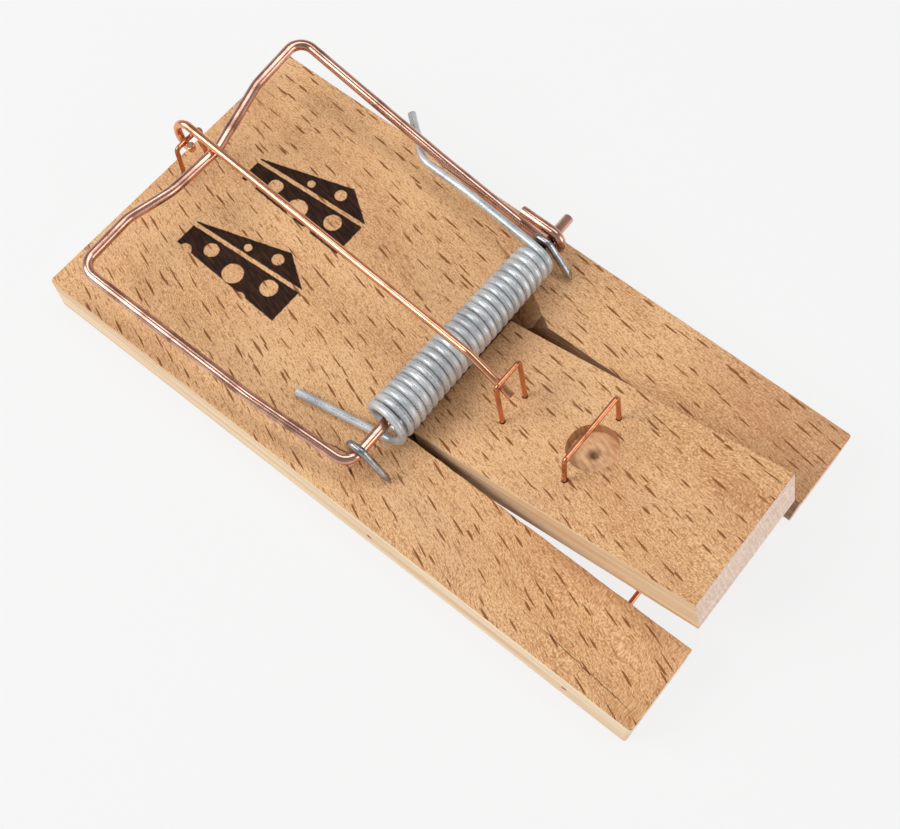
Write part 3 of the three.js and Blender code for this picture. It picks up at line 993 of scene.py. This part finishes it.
# wooden pieces
def prism(name, outline, low, high, foot=None):
    # an upright prism; low may be one height or one for each corner, and foot a second outline for them
    count = len(outline)
    lows = low if isinstance(low, (list, tuple)) else [low] * count
    verts = [(x * mm, y * mm, z * mm) for (x, y), z in zip(foot or outline, lows)]
    verts += [(x * mm, y * mm, high * mm) for x, y in outline]
    faces = [tuple(reversed(range(count))), tuple(range(count, 2 * count))]
    faces += [(i, (i + 1) % count, count + (i + 1) % count, count + i) for i in range(count)]
    shape = bmesh.new()
    made = [shape.verts.new(v) for v in verts]
    for face in faces:
        shape.faces.new([made[i] for i in face])
    bmesh.ops.recalc_face_normals(shape, faces=shape.faces)
    return solid(name, shape)


def drill(start, end, radius, segments=32):
    # a straight cutter between two points
    start, end = Vector(start), Vector(end)
    shape = bmesh.new()
    length = (end - start).length
    bmesh.ops.create_cone(shape, cap_ends=True, segments=segments, radius1=radius * mm, radius2=radius * mm,
                          depth=length * mm)
    turn = Vector((0, 0, 1)).rotation_difference(end - start).to_matrix().to_4x4()
    bmesh.ops.transform(shape, matrix=Matrix.Translation((start + end) * 0.5 * mm) @ turn, verts=shape.verts)
    return solid("cutter", shape)


def carve(piece, cutters, name):
    for cutter in cutters:
        modifier = piece.modifiers.new("carve", "BOOLEAN")
        modifier.operation = "DIFFERENCE"
        modifier.solver = "EXACT"
        modifier.object = cutter
    made = baked(piece, name)
    for cutter in cutters:
        bpy.data.objects.remove(cutter)
    return made


def softenEdges(piece, width, segments=2, minAngle=50.0):
    modifier = piece.modifiers.new("soften", "BEVEL")
    modifier.width = width * mm
    modifier.segments = segments
    modifier.limit_method = "ANGLE"
    modifier.angle_limit = math.radians(minAngle)
    return baked(piece, piece.name)


def dressFaces(piece, names, choose):
    mesh = piece.data
    mesh.materials.clear()
    for name in names:
        mesh.materials.append(woods[name])
    for face in mesh.polygons:
        face.material_index = names.index(choose(face.center / mm, face.normal))


def raggedEdge(start, end, spacing, amount, rng):
    # points along a sawn edge, each a hair off the line; the ends stay put
    (ax, ay), (bx, by) = start, end
    length = math.hypot(bx - ax, by - ay)
    count = max(2, int(length / spacing))
    nx, ny = (ay - by) / length, (bx - ax) / length
    points = []
    for i in range(count):
        share = i / count
        off = 0.0 if i == 0 else rng.uniform(-amount, amount)
        points.append((ax + (bx - ax) * share + nx * off, ay + (by - ay) * share + ny * off))
    return points


print("sawing the board")
chipShape = {
    "slant": 0.34,  # how far the torn wall leans back, for each mm of depth
    "slantX": 0.20,  # and along the board
    "slotEdge": 12.3,  # corners past this y are on the torn wall
    "outline": [
        (1.9, 11.6), (9.2, 11.6), (8.6, 12.4), (7.7, 13.0), (6.9, 13.3), (5.8, 14.2), (4.7, 14.7),
        (3.6, 15.6), (2.4, 16.1), (0.9, 17.0), (-0.9, 17.9), (-2.4, 18.4), (-3.7, 18.75), (-5.6, 19.05),
        (-4.6, 18.3), (-3.0, 17.8), (-1.8, 16.9), (-0.7, 16.3), (0.5, 14.9), (1.3, 13.6), (1.6, 12.4)],
    "depth": [6.2, 4.6, 3.6, 4.2, 4.9, 4.6, 4.9, 4.4, 3.4, 2.2, 1.2, 0.7, 0.4, 0.05, 0.15, 0.3, 0.7, 1.3,
              2.9, 4.2, 5.6],
}


def boardOutline():
    x, y, corner = boardSize["length"] / 2, boardSize["width"] / 2, boardSize["corner"]
    low, high, end = boardSize["slotLow"], boardSize["slotHigh"], boardSize["slotEnd"]
    rng = random.Random(boardSize["sawSeed"])
    points = []
    for cx, cy, start in ((x, -y, -90), (x, y, 0), (-x, y, 90), (-x, -y, 180)):
        sx, sy = math.copysign(corner, cx), math.copysign(corner, cy)
        for step in range(4):
            angle = math.radians(start + 30 * step)
            points.append((cx - sx + corner * math.cos(angle), cy - sy + corner * math.sin(angle)))
        if (cx, cy) == (x, -y):
            points += raggedEdge((x, low), (end, low), 1.3, 0.05, rng)
            points += raggedEdge((end, low), (end, high), 3.0, 0.08, rng)
            points += raggedEdge((end, high), (x, high), 1.3, 0.05, rng)
            points.append((x, high))
    return points


def chooseBoard(centre, normal):
    halfX, halfY, near = boardSize["length"] / 2, boardSize["width"] / 2, 0.3
    low, high, end = boardSize["slotLow"], boardSize["slotHigh"], boardSize["slotEnd"]
    if abs(normal.z) > 0.6 and (centre.z > boardTop - 0.25 or centre.z < 0.25):
        return "face"
    if abs(normal.z) < 0.75:
        if abs(centre.y) > halfY - 0.25:
            return "side"
        if abs(centre.x) > halfX - near:
            return "end"
        inSlot = centre.x > end - near and low - near < centre.y < high + near
        if inSlot and min(abs(centre.y - low), abs(centre.y - high), abs(centre.x - end)) < near:
            return "kerfAndShade"
    # painted shade: the chip's bottom takes the dark slot-wall finish
    if normal.z > 0.4 and centre.x > -1.5 and 11.0 < centre.y < 18.0:
        return "kerfAndShade"
    # painted shade: hole walls and the chip's low and far parts take the dark drilled finish
    nearHole = any(math.hypot(centre.x - n["x"], centre.y - n["y"]) < 1.6 for n in nails.values())
    if nearHole or centre.z < 2.0 or centre.x < -20:
        return "hole"
    # painted light: the chip's other walls take the pale torn finish
    return "tornAndLit"


def makeBoard():
    board = prism("board_blank", boardOutline(), 0.0, boardTop)
    board = softenEdges(board, 0.16, 2, 60.0)
    half = boardSize["width"]
    z = pedalPlace["hingeZ"]
    chip = chipShape
    foot = [(x - chip["slantX"] * d, y - chip["slant"] * d if y > chip["slotEdge"] else y)
            for (x, y), d in zip(chip["outline"], chip["depth"])]
    bottoms = [boardTop - d for d in chip["depth"]]
    cutters = [prism("chip", chip["outline"], bottoms, boardTop + 0.02, foot)]
    for x in (pedalPlace["hingeX"], pedalPlace["stopX"]):
        cutters.append(drill((x, -half, z), (x, half, z), holeRadii["pin"]))
    for y in stapleShape["anchorLegs"]:
        x = stapleShape["anchorX"]
        bottom = boardTop - stapleShape["anchorDepth"] - 0.3
        cutters.append(drill((x, y, boardTop + 1), (x, y, bottom), holeRadii["staple"]))
    for nail in nails.values():
        x, y = nail["x"], nail["y"]
        cutters.append(drill((x, y, -1), (x, y, boardTop + 1), holeRadii["nail"]))
        cutters.append(drill((x, y, -1), (x, y, 0.75), holeRadii["nailHead"], 40))
    board = carve(board, cutters, "board_wood")
    dressFaces(board, ("face", "side", "end", "kerfAndShade", "tornAndLit", "hole"), chooseBoard)
    return board


board = makeBoard()

print("making the pedal")


def choosePedal(centre, normal):
    local = riseTurn.inverted() @ (centre - hinge)
    facing = riseTurn.inverted() @ normal
    half = pedalShape["width"] / 2
    outer = local.z > pedalTop - 0.2 or local.z < -pedalPlace["hingeZ"] + 0.2
    if outer and abs(facing.z) > 0.6:
        return "pedalFace"
    if abs(local.y) > half - 0.2 and abs(facing.y) > 0.3:
        return "pedalSide"
    if local.x > pedalShape["length"] - 0.2 or local.x < 0.1:
        return "pedalEnd"
    if math.hypot(local.x - pedalShape["holeAt"], local.y - pedalShape["holeY"]) < 3.6:
        return "baitHole"
    # painted shade: the pedal's hole walls take the dark drilled finish
    return "hole"


def makePedal():
    shape = pedalShape
    under = -pedalPlace["hingeZ"]
    profile = [(shape["bevelStart"], under), (shape["length"], under), (shape["length"], pedalTop),
               (-shape["heel"], pedalTop), (-shape["heel"], shape["bevelEnd"])]
    pedal = prism("pedal_blank", profile, -shape["width"] / 2, shape["width"] / 2)
    # the profile was drawn flat: stand it up, so that its second axis points up
    pedal.data.transform(Matrix.Rotation(math.pi / 2, 4, "X"))
    pedal = softenEdges(pedal, 0.14, 2, 15.0)
    floor = pedalTop - shape["holeDepth"]
    hx, hy, radius = shape["holeAt"], shape["holeY"], shape["holeRadius"]
    bit = turned("bit", [
        (0, floor - 0.75), (0.12, floor - 0.72), (0.5, floor - 0.28), (0.9, floor - 0.05),
        (1.2, floor + 0.03), (2.2, floor), (radius, floor - 0.04), (radius, pedalTop + 1),
        (0, pedalTop + 1)], 64, woods["hole"])
    bit.data.transform(Matrix.Translation((hx * mm, hy * mm, 0)))
    cutters = [bit, drill((0, -60, 0), (0, 60, 0), holeRadii["pin"])]
    for legs, crown in ((stapleShape["catchLegs"], stapleShape["catchCrown"]),
                        (stapleShape["baitLegs"], stapleShape["baitCrown"])):
        for along, across in legs:
            top = Vector((crown[0], across, pedalTop + crown[1]))
            surface = Vector((along, across, pedalTop))
            down = (surface - top).normalized()
            bottom = surface + down * (stapleShape["depth"] + 0.3)
            cutters.append(drill(surface - down * 0.8, bottom, holeRadii["staple"], 24))
    pedal = carve(pedal, cutters, "pedal_wood")
    place = Matrix.Translation(hinge * mm) @ riseTurn.to_4x4()
    pedal.data.transform(place)
    pedal.data.update()
    dressFaces(pedal, ("pedalFace", "pedalSide", "pedalEnd", "hole", "baitHole"), choosePedal)
    return pedal


pedal = makePedal()

print("joining the pieces to the frame")
placing = [
    (board, "base", "board", "board_wood"),
    (anchorStaple, "base", "anchor_staple", "staple_wire"),
    (leftNail, "base", "axle_nail_left", "nail_steel"),
    (rightNail, "base", "axle_nail_right", "nail_steel"),
    (hingePin, "base", "hinge_pin", "staple_wire"),
    (stopWire, "base", "stop_wire", "staple_wire"),
    (bow, "striker", "striker_bow", "bow_wire"),
    (rod, "rod", "hold_rod", "rod_wire"),
    (pedal, "treadle", "pedal_board", "pedal_wood"),
    (catchStaple, "treadle", "catch_staple", "staple_wire"),
    (baitStaple, "treadle", "bait_staple", "staple_wire"),
]
for piece, body, node, slot in placing:
    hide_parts(node)
    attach(piece, body)
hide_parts("torsion_spring")
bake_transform(spring)

print("lighting")
studio = {
    "floor": 0.921,
    "farPaper": 0.868,
    "floorShade": 0.10,
    "floorReach": 3.0,
    "floorDrop": 0.0002,
    "paintedShadeUnderBoard": (0.25, 0.22, 0.20, 1),  # painted shade: a dark floor colour under the board, where the slot shows it
    "ceiling": 0.26,
    "horizon": 0.66,
    "softboxes": {
        # place, size, power and colour
        "key_softbox": ((-0.26, -0.26, 0.33), (0.28, 0.28), 1.42, (1.0, 0.985, 0.965)),
        "overhead_softbox": ((-0.02, 0.12, 0.42), (0.44, 0.15), 0.52, (1, 1, 1)),
        "fill_softbox": ((0.46, 0.10, 0.16), (0.30, 0.30), 0.55, (1, 1, 1)),
    },
}


def makeFloor():
    finish = Finish("studio_floor")
    bright = studio["floor"] - studio["floorShade"]
    glow = finish.node("ShaderNodeEmission", {}, {"Color": (1, 1, 1, 1), "Strength": bright})
    matt = finish.node("ShaderNodeBsdfDiffuse", {}, {"Color": (studio["floorShade"],) * 3 + (1,)})
    lit = finish.node("ShaderNodeAddShader", {}, {0: glow, 1: matt})
    # painted shade: under the board's slot the floor gets a dark diffuse colour instead of the bright glow
    shade = finish.node("ShaderNodeBsdfDiffuse", {}, {"Color": studio["paintedShadeUnderBoard"]})
    under = (1.0 - abs(finish.y).fade(15.0, 18.0)) * (1.0 - finish.x.fade(11.0, 15.0))
    under = under * finish.x.fade(-30.0, -10.0)
    both = finish.node("ShaderNodeMixShader", {}, {0: under, 1: lit, 2: shade})
    finish.node("ShaderNodeOutputMaterial", {}, {"Surface": both})
    mesh = bpy.data.meshes.new("floor")
    reach = studio["floorReach"]
    corners = [(-reach, -reach, 0), (reach, -reach, 0), (reach, reach, 0), (-reach, reach, 0)]
    mesh.from_pydata(corners, [], [(0, 1, 2, 3)])
    mesh.materials.append(finish.material)
    floor = placed("floor", mesh)
    floor.location = (0, 0, -studio["floorDrop"])


def softbox(name, place, size, power, tint):
    lamp = bpy.data.lights.new(name, "AREA")
    lamp.shape = "RECTANGLE"
    lamp.size, lamp.size_y = size
    lamp.energy = power
    lamp.color = tint
    light = placed(name, lamp)
    light.location = place
    light.rotation_euler = (-Vector(place)).to_track_quat("-Z", "Y").to_euler()


def makeSurround():
    world = bpy.data.worlds.new("studio_room")
    bpy.context.scene.world = world
    world.use_nodes = True
    bench = Bench(world.node_tree)
    world.node_tree.nodes.clear()
    spot = bench.node("ShaderNodeTexCoord", {}, {}, output=0)
    height = spot.part(2)
    low, high = studio["horizon"], studio["ceiling"]
    stops = [(0.0, (low,) * 3), (0.35, (high * 1.6,) * 3), (1.0, (high,) * 3)]
    ramp = bench.node("ShaderNodeValToRGB", {"stops": stops}, {0: height})
    seen = bench.node("ShaderNodeLightPath")
    room = bench.node("ShaderNodeBackground", {}, {"Color": ramp, "Strength": 1.0})
    white = (studio["farPaper"],) * 3 + (1,)
    paper = bench.node("ShaderNodeBackground", {}, {"Color": white, "Strength": 1.0})
    both = bench.node("ShaderNodeMixShader", {}, {0: seen, 1: room, 2: paper})
    bench.node("ShaderNodeOutputWorld", {}, {"Surface": both})


makeFloor()
makeSurround()
for name, settings in studio["softboxes"].items():
    softbox(name, *settings)

print("placing the camera")
view = {
    "place": (0.051846, -0.060766, 0.16966),
    "right": (0.77880, 0.62724, -0.00577),
    "up": (-0.57295, 0.71508, 0.40045),
    "lens": 54.386,
}
cameraData = bpy.data.cameras.new("camera")
cameraData.sensor_fit = "HORIZONTAL"
cameraData.sensor_width = 36.0
cameraData.lens = view["lens"]
cameraData.clip_start = 0.01
camera = placed("camera", cameraData)
right, up = Vector(view["right"]).normalized(), Vector(view["up"]).normalized()
back = right.cross(up)
turn = Matrix((right, up, back)).transposed().to_4x4()
camera.matrix_world = Matrix.Translation(view["place"]) @ turn
bpy.context.scene.camera = camera
bpy.context.scene.view_settings.view_transform = "Standard"
